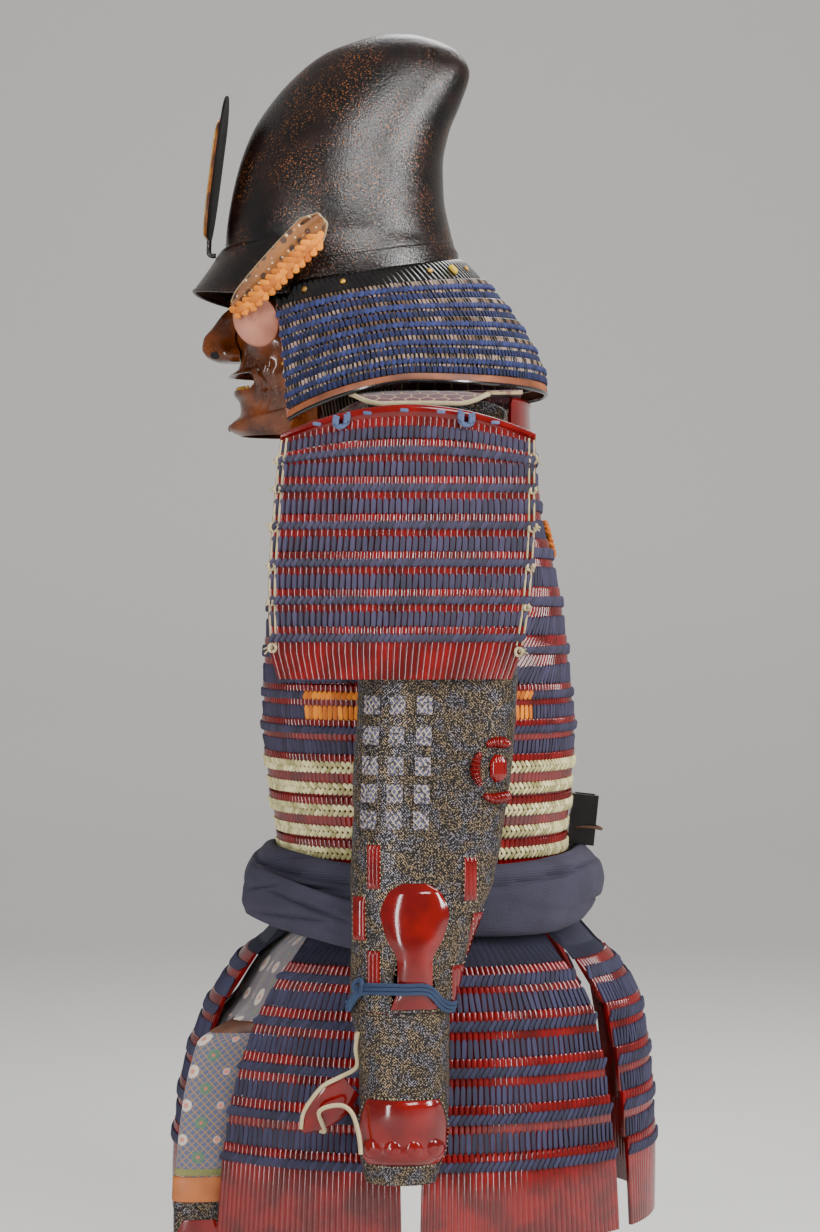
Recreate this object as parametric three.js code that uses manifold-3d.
// A laced samurai armour, worn with no wearer: helmet, mask, cuirass, shoulder guards, mail sleeves,
// tassets, thigh guards and a wound sash. Millimetres, +Z up. The wearer faces -Y, with the left at +X.
// The origin is the neck base, at the middle of the shoulder line, where the wearer carries the weight.
import * as THREE from 'three';
import { mergeVertices } from 'three/addons/utils/BufferGeometryUtils.js';
import Module from 'manifold-3d';

// Driving dimensions
const SEAM = 0.35;             // air between pieces that touch
const LAME_WALL = 3;           // lacquered scale board with its backing
const LAME_STEP = 3;           // how far each lower board stands outside the one above
const CLOTH_WALL = 3;          // lined cloth or mail on cloth
const IRON_WALL = 2.4;         // lacquered iron plate

// Helmet bowl: a tall fin swept backwards. Front and back edge and half width at each height.
const BOWL = [
  { z: 90, front: -181, back: 37, half: 97 },
  { z: 134, front: -180, back: 36, half: 97 },
  { z: 139, front: -178, back: 33, half: 94.5 },
  { z: 156, front: -176.6, back: 28.5, half: 93 },
  { z: 185, front: -172, back: 23, half: 88 },
  { z: 214, front: -165, back: 22, half: 81 },
  { z: 245, front: -153, back: 27.5, half: 71 },
  { z: 274, front: -134, back: 39, half: 58 },
  { z: 300, front: -110, back: 46.5, half: 44 },
  { z: 318, front: -86, back: 38, half: 31 },
  { z: 329, front: -58, back: 18, half: 19 },
  { z: 334, front: -42, back: 2, half: 10 },
];
const BOWL_LEVELS = [139, 156, 178, 202, 226, 250, 272, 290, 305, 317, 327, 334];
const BOWL_RIM = { front: 126, temple: 96, back: 130, templeAngle: 62 };
const VISOR = { top: 137, halfAngle: 72, reach: 26, spread: 7, frontDrop: 38, sideDrop: 49 };
const CREST = { bottomY: -192, bottomZ: 147, topY: -175, topZ: 279, half: 34, plate: 2.2 };

// Neck guard: a flaring skirt round the back of the helmet, from its top edge (share 0) to its rim (share 1)
const GUARD_TOP = { centre: -72, depth: 111.3, half: 100, openAngle: 121 };
const GUARD_FOOT = { centre: -20, depth: 136, half: 165, openAngle: 134 };
const GUARD_Z = { topBack: 129, topFront: 92, footBack: 4, cornerDrop: 30 };
const GUARD_PLAIN_END = 0.15;
const GUARD_LACED_END = 0.93;
const GUARD_LAMES = 5;

// Cuirass: half width, and depth in front of and behind the origin, at each height
const TORSO = [
  { z: -451, side: 146, front: 112, back: 127 },
  { z: -431, side: 148, front: 119, back: 129 },
  { z: -405, side: 152, front: 125, back: 131 },
  { z: -368, side: 157, front: 132, back: 135 },
  { z: -331, side: 162, front: 137, back: 138 },
  { z: -294, side: 166, front: 140, back: 139 },
  { z: -258, side: 168, front: 139, back: 135 },
  { z: -200, side: 168, front: 136, back: 129 },
  { z: -147, side: 166, front: 128, back: 119 },
  { z: -110, side: 163, front: 119, back: 109 },
  { z: -60, side: 158, front: 105, back: 104 },
  { z: -5, side: 150, front: 85, back: 100 },
];
const TORSO_SQUARENESS = 2.4;
const ARMPIT_Z = -258;
const CREAM_Z = -318;
const WAIST_Z = -431;
const CUIRASS_FOOT_Z = -451;
const CHEST_TOP_Z = -60;
const BACK_TOP_Z = -5;
// Half angle of the front and back boards at each height, which leaves the armholes
const CHEST_ANGLE = [
  { z: -258, angle: 87 },
  { z: -238, angle: 76 },
  { z: -200, angle: 57 },
  { z: -140, angle: 45 },
  { z: -60, angle: 40 },
];
const BACK_ANGLE = [
  { z: -258, angle: 87 },
  { z: -236, angle: 75 },
  { z: -190, angle: 56 },
  { z: -110, angle: 45 },
  { z: -5, angle: 40 },
];

// Skirt of tassets: the same measures, from the cuirass foot to the lowest hem
const SKIRT = [
  { z: -900, side: 196, front: 226, back: 214 },
  { z: -735, side: 192, front: 224, back: 214 },
  { z: -680, side: 188, front: 222, back: 213 },
  { z: -625, side: 183, front: 216, back: 211 },
  { z: -585, side: 178, front: 206, back: 207 },
  { z: -540, side: 172, front: 186, back: 198 },
  { z: -500, side: 166, front: 155, back: 168 },
  { z: -474, side: 152, front: 121, back: 136 },
  { z: -451, side: 146, front: 112, back: 127 },
];
const SKIRT_SQUARENESS = 2.2;
const TASSET_LAME_TOPS = [-500, -538, -577, -616, -656];
const TASSET_FOOT_Z = -735;
// Each tasset's angles from the front, at its cords and at its hem
const TASSETS = [
  { name: 'tasset_front', start: -23, end: 23, footStart: -24, footEnd: 24 },
  { name: 'tasset_left_front', start: 46, end: 86, footStart: 40, footEnd: 87 },
  { name: 'tasset_right_front', start: -86, end: -46, footStart: -87, footEnd: -40 },
  { name: 'tasset_left_rear', start: 91, end: 136, footStart: 90, footEnd: 143 },
  { name: 'tasset_right_rear', start: -136, end: -91, footStart: -143, footEnd: -90 },
  { name: 'tasset_back_left', start: 142, end: 176, footStart: 149, footEnd: 177 },
  { name: 'tasset_back_right', start: -176, end: -142, footStart: -177, footEnd: -149 },
];
// Thigh guard: its levels, its angles from the front, and the fold that stands out between two tassets
const THIGH = {
  topZ: -462, bandTopZ: -690, mailTopZ: -712, footZ: -880, start: 4, end: 80, inset: 13,
  fold: { start: 25.5, ridge: 31, end: 39.5, topZ: -548, out: 35 },
};

// Shoulder guard: rows of laced scales that hang as one board outside the sleeve
const SHOULDER_BOARD = { mid: 258.7, edge: 243.7, lean: 5, topZ: -24, cornerDrop: 23, footZ: -251, wall: 4 };
const SHOULDER_EDGES = [
  { z: -251, front: -118, back: 76 },
  { z: -244, front: -123, back: 80 },
  { z: -180, front: -126, back: 92 },
  { z: -110, front: -122, back: 96 },
  { z: -24, front: -113, back: 96 },
];
const SHOULDER_LAME_TOPS = [-52, -83, -114, -145, -176, -207];

// Sleeve of mail on cloth: middle and half widths at each height
const SLEEVE = [
  { z: -527, x: 231, y: -16.5, halfX: 27, halfY: 42 },
  { z: -470, x: 226, y: -8, halfX: 31, halfY: 50 },
  { z: -418, x: 220, y: 2.2, halfX: 34, halfY: 60 },
  { z: -336, x: 218, y: 9.8, halfX: 36, halfY: 65.4 },
  { z: -252, x: 217, y: 14.9, halfX: 37, halfY: 67 },
  { z: -120, x: 207, y: 12, halfX: 38.5, halfY: 66 },
  { z: -20, x: 196, y: 12, halfX: 40, halfY: 62 },
];
const SLEEVE_FOOT_Z = -527;
const HAND = [
  { z: -672, x: 219, y: -16, halfX: 26, halfY: 30 },
  { z: -640, x: 219, y: -15, halfX: 29, halfY: 37 },
  { z: -600, x: 221, y: -13, halfX: 31, halfY: 38 },
  { z: -560, x: 226, y: -14, halfX: 28, halfY: 39 },
  { z: -527.6, x: 231, y: -16.5, halfX: 27, halfY: 42 },
];

// Padded wing on each shoulder strap
const WING = {
  inner: 124, outer: 190, top: -2.4, droop: 14.5, fall: 0.0006, innerHalf: 60, outerHalf: 30, wall: 3,
};
const STRAP = { inner: 79, outer: 123.6, wall: 3.5 };

// Lacquers, cords, leathers and cloths
const FINISH = {
  russet: new THREE.MeshStandardMaterial({ color: 0x24110c, roughness: 0.28, metalness: 0.55 }),
  gilt: new THREE.MeshStandardMaterial({ color: 0x8a4a1c, roughness: 0.4, metalness: 0.7 }),
  blackLacquer: new THREE.MeshStandardMaterial({ color: 0x15110f, roughness: 0.25, metalness: 0.1 }),
  redLacquer: new THREE.MeshStandardMaterial({ color: 0x7d0f0c, roughness: 0.22, metalness: 0.05 }),
  blueLacing: new THREE.MeshStandardMaterial({ color: 0x3a4a86, roughness: 0.8, metalness: 0 }),
  purpleLacing: new THREE.MeshStandardMaterial({ color: 0x4a4a72, roughness: 0.8, metalness: 0 }),
  navyLacing: new THREE.MeshStandardMaterial({ color: 0x1c2238, roughness: 0.8, metalness: 0 }),
  orangeCord: new THREE.MeshStandardMaterial({ color: 0xd97a1c, roughness: 0.75, metalness: 0 }),
  printedLeather: new THREE.MeshStandardMaterial({ color: 0xa8683c, roughness: 0.6, metalness: 0 }),
  pinkLeather: new THREE.MeshStandardMaterial({ color: 0xb4745a, roughness: 0.65, metalness: 0 }),
  rimLeather: new THREE.MeshStandardMaterial({ color: 0x8a4a22, roughness: 0.6, metalness: 0 }),
  greenLeather: new THREE.MeshStandardMaterial({ color: 0x2f4034, roughness: 0.65, metalness: 0 }),
  maroonCloth: new THREE.MeshStandardMaterial({ color: 0x5a1c2c, roughness: 0.9, metalness: 0 }),
  sashCloth: new THREE.MeshStandardMaterial({ color: 0x4a4660, roughness: 0.92, metalness: 0 }),
  brocade: new THREE.MeshStandardMaterial({ color: 0x6a6c7c, roughness: 0.85, metalness: 0 }),
  mail: new THREE.MeshStandardMaterial({ color: 0x2a241e, roughness: 0.55, metalness: 0.4 }),
};

const wasm = await Module();
wasm.setup();
const armour = new THREE.Group();

// Small helpers for numbers
const radians = (degrees) => degrees * Math.PI / 180;
const blend = (from, to, share) => from + (to - from) * share;
const clamp = (value) => Math.min(1, Math.max(0, value));
const smooth = (share) => clamp(share) ** 2 * (3 - 2 * clamp(share));
const rounded = (value, squareness) => Math.sign(value) * Math.abs(value) ** (2 / squareness);
const steps = (count) => Array.from({ length: count + 1 }, (_, index) => index / count);

// Value of one named column at a height, on a smooth curve through the rows of a table sorted by z
function column(table, name, z) {
  const rows = [...table].sort((a, b) => a.z - b.z);
  if (z <= rows[0].z) {
    return rows[0][name];
  }
  if (z >= rows.at(-1).z) {
    return rows.at(-1)[name];
  }
  const index = rows.findIndex((row) => row.z > z) - 1;
  const secant = (at) => {
    const low = Math.min(Math.max(at, 0), rows.length - 2);
    return (rows[low + 1][name] - rows[low][name]) / (rows[low + 1].z - rows[low].z);
  };
  const slope = (at) => {
    const before = secant(at - 1);
    const after = secant(at);
    return before * after > 0 ? 2 * before * after / (before + after) : 0;
  };
  const gap = rows[index + 1].z - rows[index].z;
  const share = (z - rows[index].z) / gap;
  const square = share * share;
  const cube = square * share;
  return rows[index][name] * (2 * cube - 3 * square + 1) + slope(index) * gap * (cube - 2 * square + share)
    + rows[index + 1][name] * (3 * square - 2 * cube) + slope(index + 1) * gap * (cube - square);
}

// A closed body from points and faces, turned so that its faces point out
function body(points, faces) {
  let volume = 0;
  for (const [a, b, c] of faces) {
    volume += points[a].dot(new THREE.Vector3().crossVectors(points[b], points[c]));
  }
  const index = faces.flatMap(([a, b, c]) => (volume > 0 ? [a, b, c] : [a, c, b]));
  const geometry = new THREE.BufferGeometry();
  const numbers = points.flatMap((point) => point.toArray());
  geometry.setAttribute('position', new THREE.Float32BufferAttribute(numbers, 3));
  geometry.setIndex(index);
  return geometry;
}

// A wall between two grids of points, with its rims closed; the columns of a ring run right round
function wall(outer, inner, ring = false) {
  const rows = outer.length;
  const columns = outer[0].length;
  const inside = rows * columns;
  const faces = [];
  const at = (row, col) => row * columns + col % columns;
  const under = (row, col) => inside + at(row, col);
  const quad = (a, b, c, d) => faces.push([a, b, c], [a, c, d]);
  const lastColumn = ring ? columns : columns - 1;
  for (let col = 0; col < lastColumn; col += 1) {
    for (let row = 0; row < rows - 1; row += 1) {
      quad(at(row, col), at(row, col + 1), at(row + 1, col + 1), at(row + 1, col));
      quad(under(row + 1, col), under(row + 1, col + 1), under(row, col + 1), under(row, col));
    }
    quad(under(0, col), under(0, col + 1), at(0, col + 1), at(0, col));
    quad(at(rows - 1, col), at(rows - 1, col + 1), under(rows - 1, col + 1), under(rows - 1, col));
  }
  if (!ring) {
    const end = columns - 1;
    for (let row = 0; row < rows - 1; row += 1) {
      quad(under(row, 0), at(row, 0), at(row + 1, 0), under(row + 1, 0));
      quad(at(row, end), under(row, end), under(row + 1, end), at(row + 1, end));
    }
  }
  return body([...outer.flat(), ...inner.flat()], faces);
}

// A stack of closed rings with both ends capped
function loft(rings) {
  const count = rings[0].length;
  const points = rings.flat();
  const faces = [];
  for (let ring = 0; ring < rings.length - 1; ring += 1) {
    for (let index = 0; index < count; index += 1) {
      const next = (index + 1) % count;
      const low = ring * count;
      const high = low + count;
      faces.push([low + index, low + next, high + next], [low + index, high + next, high + index]);
    }
  }
  for (const [ring, turned] of [[0, true], [rings.length - 1, false]]) {
    const middle = new THREE.Vector3();
    rings[ring].forEach((point) => middle.addScaledVector(point, 1 / count));
    points.push(middle);
    for (let index = 0; index < count; index += 1) {
      const a = ring * count + index;
      const b = ring * count + (index + 1) % count;
      faces.push(turned ? [points.length - 1, b, a] : [points.length - 1, a, b]);
    }
  }
  return body(points, faces);
}

// A round bar along a path
function bar(points, radius, sides = 8, stepsAlong = 12, closed = false) {
  const section = new THREE.Shape();
  for (let index = 0; index < sides; index += 1) {
    const angle = 2 * Math.PI * index / sides;
    const move = index ? 'lineTo' : 'moveTo';
    section[move](radius * Math.cos(angle), radius * Math.sin(angle));
  }
  const path = new THREE.CatmullRomCurve3(points, closed);
  return new THREE.ExtrudeGeometry(section, { steps: stepsAlong, extrudePath: path });
}

// The same body on the wearer's other side
function mirrored(geometry) {
  const copy = geometry.clone();
  copy.scale(-1, 1, 1);
  const source = copy.index.array;
  const turned = [];
  for (let index = 0; index < source.length; index += 3) {
    turned.push(source[index], source[index + 2], source[index + 1]);
  }
  copy.setIndex(turned);
  return copy;
}

// Only positions, with shared corners merged
function welded(geometry) {
  const plain = new THREE.BufferGeometry();
  plain.setAttribute('position', geometry.getAttribute('position').clone());
  if (geometry.index) {
    plain.setIndex(geometry.index.clone());
  }
  return mergeVertices(plain, 1e-3);
}

function toManifold(geometry) {
  const merged = welded(geometry);
  return new wasm.Manifold(new wasm.Mesh({
    numProp: 3,
    vertProperties: new Float32Array(merged.getAttribute('position').array),
    triVerts: new Uint32Array(merged.index.array),
  }));
}

function fromManifold(solid) {
  const mesh = solid.getMesh();
  const geometry = new THREE.BufferGeometry();
  geometry.setAttribute('position', new THREE.Float32BufferAttribute(mesh.vertProperties, 3));
  geometry.setIndex(Array.from(mesh.triVerts));
  return geometry;
}

function addPiece(name, geometry, finish) {
  const mesh = new THREE.Mesh(geometry, finish);
  mesh.name = name;
  armour.add(mesh);
}

function addPair(name, geometry, finish) {
  const left = welded(geometry);
  addPiece(`${name}_left`, left, finish);
  addPiece(`${name}_right`, mirrored(left), finish);
}

// Rows of a board of overlapping lames: each has a top that stands out and a foot that tucks in
function lameRows(tops, foot, overlap = 1) {
  const rows = [];
  tops.forEach((top, index) => {
    const last = index === tops.length - 1;
    rows.push({ z: top, lift: LAME_STEP });
    rows.push({ z: last ? foot : tops[index + 1] + Math.sign(top - foot) * overlap, lift: last ? 0.8 : 0 });
  });
  return rows;
}

const evenTops = (top, foot, count) => steps(count).slice(0, -1).map((share) => blend(top, foot, share));

// Points round the trunk, by angle from the front towards the wearer's left
function roundTrunk(table, squareness, angle, z, lift) {
  const sine = rounded(Math.sin(radians(angle)), squareness);
  const cosine = rounded(Math.cos(radians(angle)), squareness);
  const depth = column(table, cosine > 0 ? 'front' : 'back', z);
  return new THREE.Vector3((column(table, 'side', z) + lift) * sine, -(depth + lift) * cosine, z);
}

const torsoPoint = (angle, z, lift) => roundTrunk(TORSO, TORSO_SQUARENESS, angle, z, lift);
const skirtPoint = (angle, z, lift) => roundTrunk(SKIRT, SKIRT_SQUARENESS, angle, z, lift);

// Helmet bowl
function bowlPoint(angle, z, lift) {
  const front = column(BOWL, 'front', z) - lift;
  const back = column(BOWL, 'back', z) + lift;
  const half = column(BOWL, 'half', z) + lift;
  const turn = radians(angle);
  const y = (front + back) / 2 - (back - front) / 2 * Math.cos(turn);
  return new THREE.Vector3(half * Math.sin(turn), y, z);
}

function bowlRim(angle) {
  const turn = Math.abs(angle > 180 ? angle - 360 : angle);
  if (turn < BOWL_RIM.templeAngle) {
    return blend(BOWL_RIM.front, BOWL_RIM.temple, smooth(turn / BOWL_RIM.templeAngle));
  }
  return blend(BOWL_RIM.temple, BOWL_RIM.back, (turn - BOWL_RIM.templeAngle) / (180 - BOWL_RIM.templeAngle));
}

function helmetBowl() {
  const angles = steps(22).slice(0, -1).map((share) => share * 360);
  const surface = (lift, drop) => [
    angles.map((angle) => bowlPoint(angle, bowlRim(angle), lift)),
    ...BOWL_LEVELS.slice(0, -1).map((z) => angles.map((angle) => bowlPoint(angle, z, lift))),
    angles.map((angle) => bowlPoint(angle, BOWL_LEVELS.at(-1), lift).add(new THREE.Vector3(0, 0, -drop))),
  ];
  const outside = loft(surface(0, 0));
  const insideRows = surface(-IRON_WALL, IRON_WALL);
  insideRows.unshift(insideRows[0].map((point) => point.clone().add(new THREE.Vector3(0, 0, -20))));
  return fromManifold(toManifold(outside).subtract(toManifold(loft(insideRows))));
}

// Visor: springs from the bowl's front and slopes down and out
function visorPoint(angle, share, lift) {
  const root = bowlPoint(angle, VISOR.top, lift + SEAM);
  const turn = smooth(Math.abs(angle) / VISOR.halfAngle);
  const rim = bowlPoint(angle, VISOR.top, lift + SEAM);
  rim.y -= VISOR.reach * Math.cos(radians(angle * 0.95));
  rim.x += VISOR.spread * Math.sin(radians(angle));
  const drop = blend(VISOR.frontDrop, VISOR.sideDrop, turn);
  const point = root.lerp(rim, share ** 1.15);
  point.z = VISOR.top - drop * share;
  return point;
}

function helmetVisor() {
  const angles = steps(16).map((share) => blend(-VISOR.halfAngle, VISOR.halfAngle, share));
  const shares = [0, 0.12, 0.35, 0.65, 1];
  const outer = shares.map((share) => angles.map((angle) => visorPoint(angle, share, 0.3 + IRON_WALL)));
  const inner = shares.map((share) => angles.map((angle) => visorPoint(angle, share, 0.3)));
  return wall(outer, inner);
}

// Crest: an arched tablet on a bent peg at the brow
function crestPlate(topZ, forward) {
  const outline = new THREE.Shape();
  const lean = Math.atan2(CREST.topY - CREST.bottomY, CREST.topZ - CREST.bottomZ);
  const height = (topZ - CREST.bottomZ) / Math.cos(lean);
  const foot = CREST.half * 0.45;
  outline.moveTo(-foot, 0);
  outline.lineTo(foot, 0);
  outline.quadraticCurveTo(CREST.half * 1.02, height * 0.12, CREST.half, height * 0.4);
  outline.lineTo(CREST.half, height - CREST.half);
  outline.absarc(0, height - CREST.half, CREST.half, 0, Math.PI, false);
  outline.quadraticCurveTo(-CREST.half * 1.02, height * 0.12, -foot, 0);
  const settings = { depth: CREST.plate, bevelEnabled: false, curveSegments: 7 };
  const plate = new THREE.ExtrudeGeometry(outline, settings);
  plate.rotateX(Math.PI / 2);
  plate.translate(0, -forward, 0);
  plate.rotateX(-lean);
  plate.translate(0, CREST.bottomY, CREST.bottomZ);
  return plate;
}

function crestPeg() {
  const visorFace = visorPoint(0, 0.12, 0.3 + IRON_WALL);
  const root = new THREE.Vector3(0, visorFace.y - SEAM - 1.2, visorFace.z);
  const pegY = CREST.bottomY - 1;
  const points = [
    root,
    new THREE.Vector3(0, (root.y + pegY) / 2, root.z),
    new THREE.Vector3(0, pegY, root.z + 2),
    new THREE.Vector3(0, pegY, CREST.bottomZ - 4),
    new THREE.Vector3(0, pegY, CREST.bottomZ - SEAM - 0.5),
  ];
  return bar(points, 2.4, 8, 10);
}

addPiece('helmet_bowl', helmetBowl(), FINISH.russet);
addPiece('helmet_visor', helmetVisor(), FINISH.russet);
addPiece('crest_back', crestPlate(CREST.topZ, 0), FINISH.blackLacquer);
addPiece('crest_front', crestPlate(CREST.topZ - 20, CREST.plate + SEAM), FINISH.gilt);
addPiece('crest_peg', crestPeg(), FINISH.russet);

// Turn-back: the leaf at each temple, and the plain leather lobe below it
const LEAF = { lowY: -163, lowZ: 72, highY: -84, highZ: 147, lowX: 107, highX: 138, wall: 3 };
const LEAF_HALF = [
  { z: 0, half: 5 },
  { z: 0.12, half: 10 },
  { z: 0.5, half: 13 },
  { z: 0.85, half: 14 },
  { z: 1, half: 6 },
];

function leafPoint(share, across, lift) {
  const alongY = LEAF.highY - LEAF.lowY;
  const alongZ = LEAF.highZ - LEAF.lowZ;
  const length = Math.hypot(alongY, alongZ);
  const half = column(LEAF_HALF, 'half', share) * across;
  return new THREE.Vector3(
    blend(LEAF.lowX, LEAF.highX, share) + 4 * Math.sin(Math.PI * share) - 0.016 * half * half + lift,
    LEAF.lowY + alongY * share - alongZ / length * half,
    LEAF.lowZ + alongZ * share + alongY / length * half,
  );
}

const LOBE = { y: -144.4, z: 62, halfY: 19.5, halfZ: 24, x: 104.7, wall: 2.5, tilt: 25 };

function lobePoint(radius, angle, lift) {
  const turn = radians(LOBE.tilt);
  const flatY = LOBE.halfY * radius * Math.cos(angle);
  const flatZ = LOBE.halfZ * radius * Math.sin(angle);
  return new THREE.Vector3(
    LOBE.x + lift - 2.5 * radius * radius,
    LOBE.y + flatY * Math.cos(turn) - flatZ * Math.sin(turn),
    LOBE.z + flatY * Math.sin(turn) + flatZ * Math.cos(turn),
  );
}

function turnBack() {
  const shares = steps(8);
  const across = [-1, -0.4, 0.4, 1];
  const grid = (lift) => shares.map((share) => across.map((side) => leafPoint(share, side, lift)));
  return wall(grid(0), grid(-LEAF.wall));
}

function turnBackLobe() {
  const angles = steps(16).slice(0, -1).map((share) => share * 2 * Math.PI);
  const rings = [
    angles.map((angle) => lobePoint(0.55, angle, 0)),
    angles.map((angle) => lobePoint(1, angle, -0.4)),
    angles.map((angle) => lobePoint(1, angle, -LOBE.wall)),
    angles.map((angle) => lobePoint(0.55, angle, -LOBE.wall)),
  ];
  return loft(rings);
}

addPair('turnback', turnBack(), FINISH.printedLeather);
addPair('turnback_lobe', turnBackLobe(), FINISH.pinkLeather);

// Neck guard
function guardPoint(angle, share, lift) {
  const flare = 1 - (1 - clamp(share)) ** 1.6;
  const centre = blend(GUARD_TOP.centre, GUARD_FOOT.centre, flare);
  const depth = blend(GUARD_TOP.depth, GUARD_FOOT.depth, flare) + lift;
  const half = blend(GUARD_TOP.half, GUARD_FOOT.half, flare) + lift;
  const open = blend(GUARD_TOP.openAngle, GUARD_FOOT.openAngle, flare);
  const turn = angle * open;
  const top = blend(GUARD_Z.topBack, GUARD_Z.topFront, Math.abs(angle) ** 1.2);
  const foot = GUARD_Z.footBack - GUARD_Z.cornerDrop * Math.max(0, (Math.abs(angle) - 0.62) / 0.38) ** 1.5;
  return new THREE.Vector3(
    half * Math.sin(radians(turn)),
    centre + depth * Math.cos(radians(turn)),
    blend(top, foot, share),
  );
}

function guardWall(rows, columns, thickness) {
  const angles = steps(columns).map((share) => blend(-1, 1, share));
  const grid = (inward) => rows.map((row) => angles.map(
    (angle) => guardPoint(angle, row.z, row.lift - inward),
  ));
  return wall(grid(0), grid(thickness));
}

const plainRows = [{ z: 0, lift: 0 }, { z: GUARD_PLAIN_END - 0.004, lift: 0 }];
const lacedRows = lameRows(evenTops(GUARD_PLAIN_END, GUARD_LACED_END, GUARD_LAMES), GUARD_LACED_END, 0.006)
  .map((row, index, rows) => ({ z: row.z, lift: index === rows.length - 1 ? 0 : row.lift }));
const rimRows = [
  { z: GUARD_LACED_END + 0.006, lift: 0.6 },
  { z: 0.965, lift: 1.6 },
  { z: 1, lift: 1.6 },
];
addPiece('neck_guard_top', guardWall(plainRows, 20, 2.2), FINISH.blackLacquer);
addPiece('neck_guard', guardWall(lacedRows, 20, 2.6), FINISH.blueLacing);
addPiece('neck_guard_rim', guardWall(rimRows, 20, 3.4), FINISH.rimLeather);

// Mask: the lower face, open at the back. Middle line and half width at each height.
const MASK = [
  { z: 86, front: -160, half: 60 },
  { z: 72, front: -166, half: 66 },
  { z: 55, front: -168, half: 70 },
  { z: 40, front: -163, half: 71 },
  { z: 28, front: -166, half: 69 },
  { z: 19, front: -176, half: 66 },
  { z: 12, front: -171, half: 63 },
  { z: 4, front: -170, half: 60 },
  { z: -4, front: -165, half: 57 },
  { z: -14, front: -165, half: 53 },
  { z: -22, front: -170, half: 50 },
  { z: -28, front: -173, half: 48 },
  { z: -34, front: -166, half: 46 },
];
const MASK_LEVELS = [86, 74, 64, 55, 47, 38, 30, 24, 19, 12, 4, -4, -14, -22, -28, -34];
const MASK_BACK_Y = -92;
const MOUTH = { topZ: 21.5, footZ: 7, half: 48, backY: -149 };
// The jaw's edge at the chin and at the sides; below it the mask tucks in under the chin
const JAW = { chinZ: -29, sideZ: -8, tuck: 0.55 };
const NOSE = [
  { z: 90, front: -170, half: 6 },
  { z: 78, front: -181, half: 8 },
  { z: 66, front: -190, half: 9.5 },
  { z: 56, front: -198, half: 11.5 },
  { z: 47, front: -199.5, half: 15 },
  { z: 40, front: -196, half: 17 },
  { z: 35, front: -187, half: 14 },
];

// Raised cheek, the creases beside the mouth, and the chin
function maskRelief(side, z) {
  const hump = (atSide, atZ, wide, tall, high) => high
    * Math.exp(-(((Math.abs(side) - atSide) / wide) ** 2) - ((z - atZ) / tall) ** 2);
  return hump(0.52, 58, 0.17, 13, 9) + hump(0.62, 22, 0.07, 14, 6) + hump(0.82, 14, 0.06, 18, 4)
    - hump(0.43, 32, 0.1, 7, 4) + hump(0.16, -24, 0.2, 6, 3) - hump(0.3, -10, 0.3, 5, 2.5);
}

function maskPoint(side, z, lift) {
  const jawZ = blend(JAW.chinZ, JAW.sideZ, Math.abs(side));
  const tucked = lift - JAW.tuck * Math.max(0, jawZ - z);
  const half = column(MASK, 'half', z) + tucked;
  const front = column(MASK, 'front', z) - tucked;
  const angle = radians(90 * side);
  const x = half * Math.sin(angle) * (1 - 0.04 * side * side);
  const y = MASK_BACK_Y + (front - MASK_BACK_Y) * Math.abs(Math.cos(angle)) ** 0.85;
  const push = maskRelief(side, z);
  return new THREE.Vector3(x + push * Math.sin(angle), y - push * Math.cos(angle), z);
}

function maskBody() {
  const sides = steps(14).map((share) => blend(-1, 1, share));
  const grid = (lift) => MASK_LEVELS.map((z) => sides.map((side) => maskPoint(side, z, lift)));
  const shell = toManifold(wall(grid(0), grid(-IRON_WALL)));
  const radius = (MOUTH.topZ - MOUTH.footZ) / 2;
  const corner = new THREE.CylinderGeometry(radius, radius, 2 * MOUTH.half, 14);
  corner.rotateZ(Math.PI / 2);
  corner.translate(0, MOUTH.backY - radius, MOUTH.footZ + radius);
  const gap = new THREE.BoxGeometry(2 * MOUTH.half, 60, 2 * radius);
  gap.translate(0, MOUTH.backY - radius - 30, MOUTH.footZ + radius);
  const mouth = toManifold(gap).add(toManifold(corner));
  return fromManifold(shell.subtract(mouth));
}

// The nose is a separate plate that sits over the ridge of the mask
function maskNose() {
  const rings = NOSE.map((row) => {
    const seat = (side) => maskPoint(side, row.z, 0).y - SEAM - 0.3;
    const span = row.half / column(MASK, 'half', row.z) / 1.5;
    return [
      new THREE.Vector3(row.half, Math.min(seat(span), seat(0)), row.z),
      new THREE.Vector3(row.half * 0.8, blend(seat(0), row.front, 0.45), row.z),
      new THREE.Vector3(row.half * 0.42, blend(seat(0), row.front, 0.86), row.z),
      new THREE.Vector3(0, row.front, row.z),
      new THREE.Vector3(-row.half * 0.42, blend(seat(0), row.front, 0.86), row.z),
      new THREE.Vector3(-row.half * 0.8, blend(seat(0), row.front, 0.45), row.z),
      new THREE.Vector3(-row.half, Math.min(seat(span), seat(0)), row.z),
      new THREE.Vector3(0, seat(0), row.z),
    ];
  });
  return loft(rings);
}

// Throat guard: narrow laced boards below the chin
const THROAT = { topZ: -34.6, footZ: -82, topAngle: 17, footAngle: 20, topLift: 17, footLift: 3.6 };

function throatPoint(side, z, lift) {
  const share = (z - THROAT.topZ) / (THROAT.footZ - THROAT.topZ);
  const angle = side * blend(THROAT.topAngle, THROAT.footAngle, share);
  return torsoPoint(angle, z, lift + blend(THROAT.topLift, THROAT.footLift, share));
}

function throatGuard() {
  const angles = steps(8).map((share) => blend(-1, 1, share));
  const rows = lameRows(evenTops(THROAT.topZ, THROAT.footZ, 3), THROAT.footZ);
  const grid = (inward) => rows.map((row) => angles.map(
    (angle) => throatPoint(angle, row.z, row.lift - inward),
  ));
  return wall(grid(0), grid(2.6));
}

addPiece('mask_body', maskBody(), FINISH.russet);
addPiece('mask_nose', maskNose(), FINISH.russet);
addPiece('throat_guard', throatGuard(), FINISH.blackLacquer);

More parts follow.
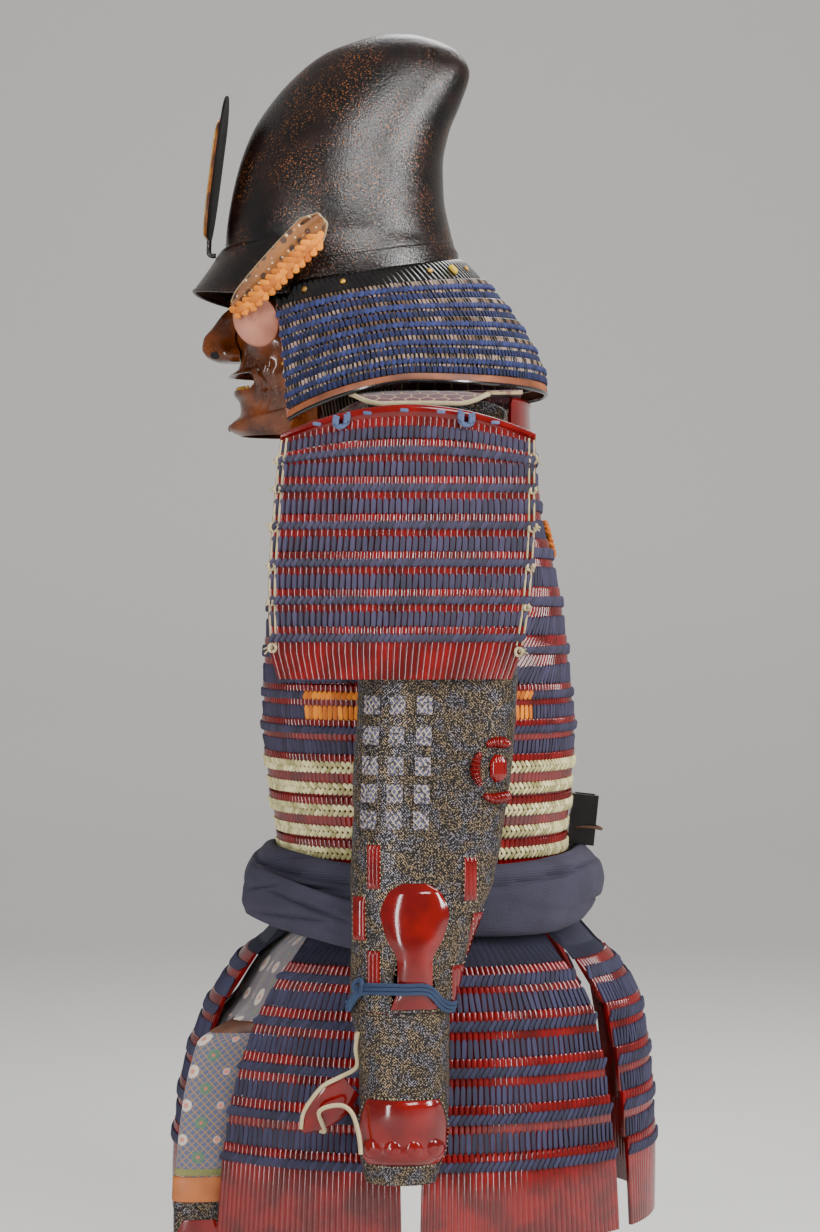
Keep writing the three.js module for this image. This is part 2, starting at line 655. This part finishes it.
// Cuirass: one strip of laced boards wraps the waist and laps under the wearer's right arm
const WRAP_LAP = 10;
const WRAP_LAP_LIFT = 6.8;

function lapLift(angle) {
  return WRAP_LAP_LIFT * smooth((-90 + 3 * WRAP_LAP - angle) / (2 * WRAP_LAP));
}

function wrapWall(rows, columns, thickness) {
  const angles = steps(columns).map((share) => blend(-90 - WRAP_LAP, 270 + WRAP_LAP / 2, share));
  const grid = (inward) => rows.map((row) => angles.map(
    (angle) => torsoPoint(angle, row.z, row.lift - inward + lapLift(angle)),
  ));
  return wall(grid(0), grid(thickness));
}

function boardWall(table, topZ, tops) {
  const rows = [
    { z: topZ, lift: 0.5 },
    { z: topZ - 3, lift: 2.5 },
    { z: tops[0] + 1, lift: 0 },
    ...lameRows(tops, ARMPIT_Z + SEAM),
  ];
  const sign = table === CHEST_ANGLE ? 0 : 180;
  const sides = steps(10).map((share) => blend(-1, 1, share));
  const grid = (inward) => rows.map((row) => sides.map(
    (side) => torsoPoint(sign + side * column(table, 'angle', row.z), row.z, row.lift - inward),
  ));
  return wall(grid(0), grid(LAME_WALL));
}

const wrapTops = [...evenTops(ARMPIT_Z, CREAM_Z, 2), ...evenTops(CREAM_Z, WAIST_Z, 3)];
const bandRows = [{ z: WAIST_Z - SEAM, lift: 0.6 }, { z: CUIRASS_FOOT_Z + SEAM, lift: 0.6 }];
const chestTops = evenTops(-96, ARMPIT_Z, 4);
const backTops = evenTops(-44, ARMPIT_Z, 5);
addPiece('cuirass_wrap', wrapWall(lameRows(wrapTops, WAIST_Z), 30, LAME_WALL), FINISH.purpleLacing);
addPiece('cuirass_front', boardWall(CHEST_ANGLE, CHEST_TOP_Z, chestTops), FINISH.purpleLacing);
addPiece('cuirass_back', boardWall(BACK_ANGLE, BACK_TOP_Z, backTops), FINISH.purpleLacing);
addPiece('waist_band', wrapWall(bandRows, 30, 2.4), FINISH.greenLeather);

// Shoulder straps run from the back board over the shoulder to the front board
function strapPoint(share, across, lift) {
  const path = [
    { z: 0, y: -87, height: CHEST_TOP_Z + SEAM },
    { z: 0.15, y: -85, height: -43 },
    { z: 0.32, y: -69, height: -19 },
    { z: 0.52, y: -30, height: -5.5 },
    { z: 0.75, y: 30, height: -1.6 },
    { z: 0.92, y: 78, height: -1.2 },
    { z: 1, y: 93, height: -1 },
  ];
  const slopeY = column(path, 'y', share + 0.01) - column(path, 'y', share - 0.01);
  const slopeZ = column(path, 'height', share + 0.01) - column(path, 'height', share - 0.01);
  const length = Math.hypot(slopeY, slopeZ);
  return new THREE.Vector3(
    blend(STRAP.inner, STRAP.outer, across),
    column(path, 'y', share) - slopeZ / length * lift,
    column(path, 'height', share) + slopeY / length * lift,
  );
}

function shoulderStrap() {
  const shares = steps(10).map((share) => blend(0.01, 0.985, share));
  const across = steps(1);
  const grid = (lift) => shares.map((share) => across.map((side) => strapPoint(share, side, lift)));
  return wall(grid(0), grid(-STRAP.wall));
}

function wingTop(x, y) {
  const share = (x - WING.inner) / (WING.outer - WING.inner);
  return WING.top - WING.droop * share ** 2 - WING.fall * y * y;
}

const wingUnderside = (x, y) => wingTop(x, y) - WING.wall;

function shoulderWing() {
  const shares = steps(4);
  const sides = steps(8).map((share) => blend(-1, 1, share));
  const spot = (share, side) => {
    const x = blend(WING.inner, WING.outer, Math.sin(share * Math.PI / 2));
    const half = blend(WING.outerHalf, WING.innerHalf, Math.cos(share * Math.PI / 2));
    return [x, side * half];
  };
  const top = shares.map((share) => sides.map((side) => {
    const [x, y] = spot(share, side);
    return new THREE.Vector3(x, y, wingTop(x, y));
  }));
  const under = shares.map((share) => sides.map((side) => {
    const [x, y] = spot(share, side);
    return new THREE.Vector3(x, y, wingUnderside(x, y));
  }));
  return wall(top, under);
}

// Standing collar round the back of the neck, seated on the straps
function standingCollar() {
  const angles = steps(14).map((share) => blend(65, 295, share));
  const rows = [{ z: -6, radius: 79.5 }, { z: 0, radius: 79.2 }, { z: 18, radius: 74 }];
  const grid = (inward) => rows.map((row) => angles.map((angle) => new THREE.Vector3(
    (row.radius - inward) * Math.sin(radians(angle)),
    12 - (row.radius - inward) * Math.cos(radians(angle)),
    row.z,
  )));
  return wall(grid(0), grid(5));
}

addPair('shoulder_strap', shoulderStrap(), FINISH.maroonCloth);
addPair('shoulder_wing', shoulderWing(), FINISH.maroonCloth);
addPiece('collar', standingCollar(), FINISH.maroonCloth);

// Sash: a wound and folded cloth, fat in front and behind, with its end folded over at the left front
const SASH = { z: -437, halfHeight: 33, halfThick: 19, offset: 22.4, pressed: 9, folds: 3, foldDepth: 0.09 };
const SASH_END = { z: -440, halfHeight: 24, halfThick: 8.5, start: 29, end: 74, rise: -20, air: -0.75 };

const sashSwell = (angle) => 1 + 0.08 * Math.sin(radians(angle * 3 + 40));
const sashPress = (angle) => SASH.pressed * Math.abs(Math.sin(radians(angle))) ** 4;

// How far the middle of the roll is outside the cuirass; it rides over the lap under the right arm
function rollMiddle(angle) {
  const turn = angle > 180 ? angle - 360 : angle;
  return WRAP_LAP_LIFT * smooth((40 - Math.abs(turn + 85)) / 15) + SASH.offset - sashPress(angle);
}

function rollThick(angle) {
  return (SASH.halfThick - sashPress(angle)) * sashSwell(angle);
}

// The folded end lies on the roll
function endMiddle(angle) {
  return rollMiddle(angle) + rollThick(angle) + SASH_END.air + SASH_END.halfThick * sashSwell(angle);
}

function sashStretch(start, end, count, shape) {
  const rings = steps(count).map((share) => {
    const angle = blend(start, end, share);
    const z = shape.z - 6 * Math.sin(radians(angle)) ** 2 + shape.rise * share;
    return steps(10).slice(0, -1).map((around) => {
      const turn = around * 2 * Math.PI;
      const fold = 1 - SASH.foldDepth + SASH.foldDepth * Math.cos(SASH.folds * turn + radians(angle * 2));
      const out = shape.middle(angle) + shape.thick(angle) * fold * Math.cos(turn);
      const point = torsoPoint(angle, z, out);
      point.z = z + shape.halfHeight * sashSwell(angle) * fold * Math.sin(turn);
      return point;
    });
  });
  return loft(rings);
}

const sashRoll = { z: SASH.z, halfHeight: SASH.halfHeight, rise: 0, middle: rollMiddle, thick: rollThick };
const sashEnd = {
  z: SASH_END.z,
  halfHeight: SASH_END.halfHeight,
  rise: SASH_END.rise,
  middle: endMiddle,
  thick: (angle) => SASH_END.halfThick * sashSwell(angle),
};
addPiece('sash_front', sashStretch(-96, 96, 18, sashRoll), FINISH.sashCloth);
addPiece('sash_back', sashStretch(96.15, 263.85, 16, sashRoll), FINISH.sashCloth);
addPiece('sash_fold', sashStretch(SASH_END.start, SASH_END.end, 8, sashEnd), FINISH.sashCloth);

// Shoulder guards
function shoulderPoint(across, z, lift) {
  const front = column(SHOULDER_EDGES, 'front', z);
  const back = column(SHOULDER_EDGES, 'back', z);
  const swell = 1 - (2 * across - 1) ** 2;
  const drop = (z - SHOULDER_BOARD.topZ) / (SHOULDER_BOARD.footZ - SHOULDER_BOARD.topZ);
  return new THREE.Vector3(
    blend(SHOULDER_BOARD.edge, SHOULDER_BOARD.mid, swell) + SHOULDER_BOARD.lean * (drop - 0.5) + lift,
    blend(front, back, across),
    z,
  );
}

// The top edge is an arc, so each row keeps less of the arc the lower it is
function shoulderRow(across, z) {
  const arc = SHOULDER_BOARD.cornerDrop * (2 * across - 1) ** 2;
  const share = clamp((z - SHOULDER_LAME_TOPS[1]) / (SHOULDER_BOARD.topZ - SHOULDER_LAME_TOPS[1]));
  return z - arc * share;
}

function shoulderWall(rows, columns) {
  const acrosses = steps(columns);
  const grid = (inward) => rows.map((row) => acrosses.map(
    (across) => shoulderPoint(across, shoulderRow(across, row.z), row.lift - inward),
  ));
  return wall(grid(0), grid(SHOULDER_BOARD.wall));
}

const crownRows = [
  { z: SHOULDER_BOARD.topZ, lift: 3 },
  { z: SHOULDER_BOARD.topZ - 4, lift: 5 },
  { z: SHOULDER_BOARD.topZ - 8, lift: 1.5 },
  { z: SHOULDER_LAME_TOPS[0] + SEAM, lift: 0 },
];
addPair('shoulder_guard_top', shoulderWall(crownRows, 8), FINISH.redLacquer);
const shoulderRows = lameRows(SHOULDER_LAME_TOPS, SHOULDER_BOARD.footZ);
addPair('shoulder_guard', shoulderWall(shoulderRows, 8), FINISH.purpleLacing);

// Sleeves: a tube of mail on cloth, open at the shoulder and the wrist
function tubePoint(table, angle, z, lift) {
  const halfX = column(table, 'halfX', z) + lift;
  const halfY = column(table, 'halfY', z) + lift;
  return new THREE.Vector3(
    column(table, 'x', z) + halfX * Math.sin(radians(angle)),
    column(table, 'y', z) - halfY * Math.cos(radians(angle)),
    z,
  );
}

function sleeveTop(angle) {
  const flat = tubePoint(SLEEVE, angle, -22, 0);
  return wingUnderside(flat.x, flat.y) - 1;
}

function sleeveTube() {
  const angles = steps(14).slice(0, -1).map((share) => share * 360);
  const levels = [-80, -160, -252, -300, -336, -375, -418, -470, SLEEVE_FOOT_Z];
  const grid = (lift) => [
    angles.map((angle) => tubePoint(SLEEVE, angle, sleeveTop(angle), lift)),
    ...levels.map((z) => angles.map((angle) => tubePoint(SLEEVE, angle, z, lift))),
  ];
  return wall(grid(0), grid(-CLOTH_WALL), true);
}

// A plate that follows the outer side of a tube: its half width at each share of its length
function tubePlate(table, shape, rows, columns) {
  const shares = steps(rows);
  const sides = steps(columns).map((share) => blend(-1, 1, share));
  const grid = (solidLift, domed) => shares.map((share) => sides.map((side) => {
    const z = blend(shape.topZ, shape.footZ, share);
    const half = column(shape.halves, 'half', share);
    const middle = blend(shape.topY, shape.footY, share);
    const turn = (y) => Math.asin((y - column(table, 'y', z)) / column(table, 'halfY', z)) * 180 / Math.PI;
    const angle = 90 + blend(turn(middle - half), turn(middle + half), (side + 1) / 2);
    const high = domed ? shape.dome * column(shape.halves, 'high', share) : 0;
    return tubePoint(table, angle, z, solidLift + high * Math.sqrt(clamp(1 - side * side)));
  }));
  return wall(grid(SEAM + 0.4 + shape.wall, true), grid(SEAM + 0.4, false));
}

const GOURD = {
  topZ: -420, footZ: -524, topY: -4, footY: -5, dome: 9, wall: 1.6,
  halves: [
    { z: 0, half: 10, high: 0.5 }, { z: 0.07, half: 21, high: 0.8 }, { z: 0.24, half: 27.5, high: 1 },
    { z: 0.42, half: 23, high: 1 }, { z: 0.62, half: 14, high: 0.9 }, { z: 0.8, half: 14, high: 0.8 },
    { z: 1, half: 19, high: 0.6 },
  ],
};
const ELBOW = {
  topZ: -316, footZ: -336, topY: 65, footY: 65, dome: 5, wall: 1.6,
  halves: [
    { z: 0, half: 2.5, high: 0.5 }, { z: 0.3, half: 6, high: 1 },
    { z: 0.7, half: 6, high: 1 }, { z: 1, half: 2.5, high: 0.5 },
  ],
};
const BACK_OF_HAND = {
  topZ: -600, footZ: -655, topY: -14, footY: -14, dome: 5, wall: 1.8,
  halves: [
    { z: 0, half: 29, high: 0.4 }, { z: 0.1, half: 31, high: 0.7 }, { z: 0.4, half: 34.5, high: 1 },
    { z: 0.62, half: 34.5, high: 0.8 }, { z: 0.85, half: 33, high: 1 }, { z: 1, half: 29, high: 0.5 },
  ],
};

addPair('sleeve', sleeveTube(), FINISH.mail);
addPair('forearm_plate', tubePlate(SLEEVE, GOURD, 10, 6), FINISH.redLacquer);
addPair('elbow_boss', tubePlate(SLEEVE, ELBOW, 4, 4), FINISH.redLacquer);

// Mitt over the back of the hand, open on the palm side, with its plate and thumb plate
function handMail() {
  const angles = steps(9).map((share) => blend(-12, 192, share));
  const levels = [-527.8, -560, -590, -620, -645, -672];
  const grid = (lift) => levels.map((z) => angles.map((angle) => tubePoint(HAND, angle, z, lift)));
  return wall(grid(0), grid(-2.2));
}

// Thumb plate: a small domed leaf that slants down and forward from the wrist
function thumbPlate() {
  const root = new THREE.Vector3(225, -58.2, -590);
  const tip = new THREE.Vector3(214, -99, -630);
  const acrossWay = new THREE.Vector3(0.25, -0.62, 0.74).normalize();
  const alongWay = new THREE.Vector3().subVectors(tip, root);
  const outWay = new THREE.Vector3().crossVectors(alongWay, acrossWay).normalize();
  outWay.multiplyScalar(Math.sign(outWay.x));
  const halves = [{ z: 0, half: 12 }, { z: 0.3, half: 17 }, { z: 0.7, half: 14 }, { z: 1, half: 4 }];
  const dome = 6;
  const spot = (share, side, lift) => {
    const high = dome * Math.sqrt(1 - 0.96 * side * side) * Math.sin(Math.PI * (0.15 + 0.7 * share));
    return new THREE.Vector3()
      .lerpVectors(root, tip, share)
      .addScaledVector(acrossWay, column(halves, 'half', share) * side)
      .addScaledVector(outWay, lift + high);
  };
  const sides = [-1, -0.5, 0, 0.5, 1];
  const grid = (lift) => steps(6).map((share) => sides.map((side) => spot(share, side, lift)));
  return wall(grid(2), grid(0));
}

// Blue cord tied round the wrist over the plate's foot
function wristCord() {
  const points = steps(20).slice(0, -1).map((share) => {
    const angle = share * 360;
    const z = -514 - 5 * Math.cos(radians(angle));
    const high = Math.max(0, Math.cos(radians(angle - 90))) ** 3;
    return tubePoint(SLEEVE, angle, z, 3.7 + 11 * high);
  });
  return bar(points, 2.6, 5, 20, true);
}

addPair('hand_mail', handMail(), FINISH.mail);
addPair('hand_plate', tubePlate(HAND, BACK_OF_HAND, 6, 8), FINISH.redLacquer);
addPair('thumb_plate', thumbPlate(), FINISH.redLacquer);
addPair('wrist_cord', wristCord(), FINISH.blueLacing);

// Tassets: five boards each, on long cords from the cuirass foot
const tassetRows = [
  { z: CUIRASS_FOOT_Z - SEAM, lift: -1 },
  { z: -474, lift: -1 },
  { z: TASSET_LAME_TOPS[0] + 1, lift: 0 },
  ...lameRows(TASSET_LAME_TOPS, TASSET_FOOT_Z),
];

function tassetWall(tasset) {
  const sides = steps(5);
  const grid = (inward) => tassetRows.map((row) => sides.map((side) => {
    const drop = clamp((row.z - TASSET_LAME_TOPS[0]) / (TASSET_FOOT_Z - TASSET_LAME_TOPS[0]));
    const start = blend(tasset.start, tasset.footStart, drop);
    const end = blend(tasset.end, tasset.footEnd, drop);
    return skirtPoint(blend(start, end, side), row.z, row.lift - inward);
  }));
  return wall(grid(0), grid(LAME_WALL));
}

TASSETS.forEach((tasset) => addPiece(tasset.name, tassetWall(tasset), FINISH.navyLacing));

// Thigh guards hang inside the tassets: brocade, a leather band, and mail with plates.
// Between the front and side tassets the guard folds out past them.
function foldOut(angle, z) {
  const { start, ridge, end, topZ, out } = THIGH.fold;
  const side = angle < ridge ? (angle - start) / (ridge - start) : (end - angle) / (end - ridge);
  const below = smooth((topZ - z) / 26);
  return out * below * Math.sin(Math.PI / 2 * clamp(side)) ** 1.2;
}

const THIGH_ANGLES = [4, 16, 25.5, 26.5, 28.3, 31, 34, 37, 39.5, 50, 65, 80];

function thighWall(rows, thickness) {
  const grid = (inward) => rows.map((row) => THIGH_ANGLES.map((angle) => {
    const sag = 1.6 * Math.sin(radians(angle * 14)) * clamp((THIGH.topZ - row.z) / 120);
    return skirtPoint(angle, row.z, row.lift - inward + sag + foldOut(angle, row.z));
  }));
  return wall(grid(0), grid(thickness));
}

const thighCloth = [
  { z: THIGH.topZ, lift: -4.8 },
  { z: -478, lift: -9 },
  { z: -505, lift: -16 },
  { z: -540, lift: -20 },
  { z: THIGH.fold.topZ, lift: -18 },
  { z: -560, lift: -THIGH.inset },
  { z: -574, lift: -THIGH.inset },
  { z: -615, lift: -THIGH.inset },
  { z: -655, lift: -THIGH.inset },
  { z: THIGH.bandTopZ + SEAM, lift: -THIGH.inset },
];
const thighBand = [{ z: THIGH.bandTopZ, lift: -11 }, { z: THIGH.mailTopZ + SEAM, lift: -11 }];
const thighMail = [
  { z: THIGH.mailTopZ, lift: -12.4 },
  { z: -800, lift: -14 },
  { z: THIGH.footZ, lift: -16 },
];
addPair('thigh_cloth', thighWall(thighCloth, 2.2), FINISH.brocade);
addPair('thigh_band', thighWall(thighBand, 3), FINISH.rimLeather);
addPair('thigh_mail', thighWall(thighMail, 3), FINISH.mail);

// Socket for a flag pole, tied behind the sash, and the ring on the back board
function flagSocket() {
  const size = { wide: 28, deep: 24, height: 46, wall: 3, floor: 4 };
  const outside = new THREE.BoxGeometry(size.wide, size.deep, size.height);
  const wide = size.wide - 2 * size.wall;
  const deep = size.deep - 2 * size.wall;
  const inside = new THREE.BoxGeometry(wide, deep, size.height);
  inside.translate(0, 0, size.floor);
  const cup = fromManifold(toManifold(outside).subtract(toManifold(inside)));
  cup.rotateX(radians(-6));
  const seat = torsoPoint(180, -384, LAME_STEP);
  cup.translate(0, seat.y + size.deep / 2 + 1.9, seat.z - 0.85);
  return cup;
}

function backRing() {
  const centre = torsoPoint(180, -128, LAME_STEP);
  const ring = new THREE.TorusGeometry(15, 3, 6, 16);
  ring.rotateX(-radians(75));
  ring.translate(0, centre.y + 2.9, centre.z);
  return ring;
}

addPiece('flag_socket', flagSocket(), FINISH.blackLacquer);
addPiece('back_ring', backRing(), FINISH.orangeCord);

export default armour;
